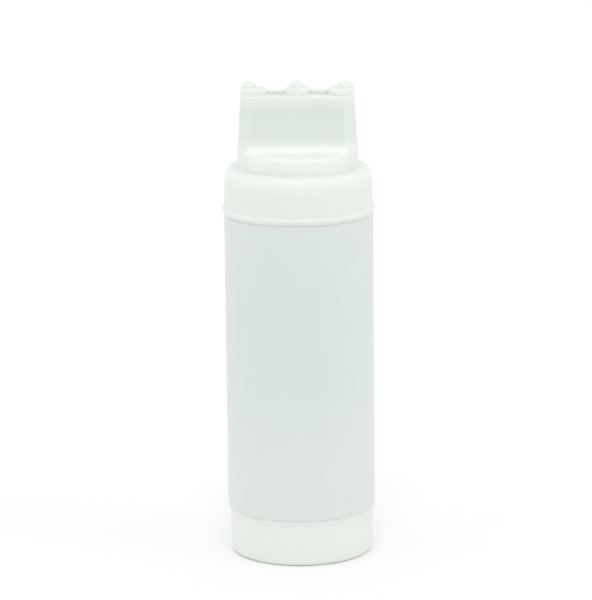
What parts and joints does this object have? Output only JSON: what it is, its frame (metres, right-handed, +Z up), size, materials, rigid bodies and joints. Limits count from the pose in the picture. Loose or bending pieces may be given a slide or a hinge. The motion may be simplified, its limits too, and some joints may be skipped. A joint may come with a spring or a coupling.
{
  "type": "condiment squeeze bottle",
  "caption": "Translucent condiment squeeze bottle: soft cylindrical body open at both ends, screw-on wedge nozzle cap with stepped tips in a row, and a screw-on base cap it stands on.",
  "frame": {"origin": "centre of the base cap's underside, where the bottle's axis meets the surface it stands on", "axes": "+Z up along the bottle's axis towards the tips, +X along the row of tips, -Y out of the recessed front panel"},
  "size_m": [0.0748, 0.0748, 0.2339],
  "materials": {
    "body_plastic": "satin translucent low-density polyethylene, faint cool green tint",
    "nozzle_plastic": "satin translucent white polyethylene",
    "base_plastic": "satin translucent white polyethylene",
    "seal_silicone": "matt translucent silicone"
  },
  "bodies": {
    "bottle": {"bottle_body": "body_plastic"},
    "nozzle_ring": {"nozzle_seal": "seal_silicone"},
    "nozzle": {"nozzle_cap": "nozzle_plastic"},
    "base_ring": {"base_seal": "seal_silicone"},
    "base": {"base_cap": "base_plastic"}
  },
  "joints": [
    {"name": "nozzle_cap_rise", "type": "slide", "parent": "bottle", "child": "nozzle_ring", "axis": [0, 0, 1], "range_m": [0, 0.00423]},
    {"name": "nozzle_cap_turn", "type": "hinge", "parent": "nozzle_ring", "child": "nozzle", "pos_m": [0, 0, 0.1696], "axis": [0, 0, 1], "range_deg": [0, 360]},
    {"name": "base_cap_drop", "type": "slide", "parent": "bottle", "child": "base_ring", "axis": [0, 0, -1], "range_m": [0, 0.00423]},
    {"name": "base_cap_turn", "type": "hinge", "parent": "base_ring", "child": "base", "pos_m": [0, 0, 0], "axis": [0, 0, -1], "range_deg": [0, 360]}
  ],
  "couplings": [
    {"joint": "nozzle_cap_rise", "follows": "nozzle_cap_turn", "m_per_rad": 0.000673},
    {"joint": "base_cap_drop", "follows": "base_cap_turn", "m_per_rad": 0.000673}
  ]
}
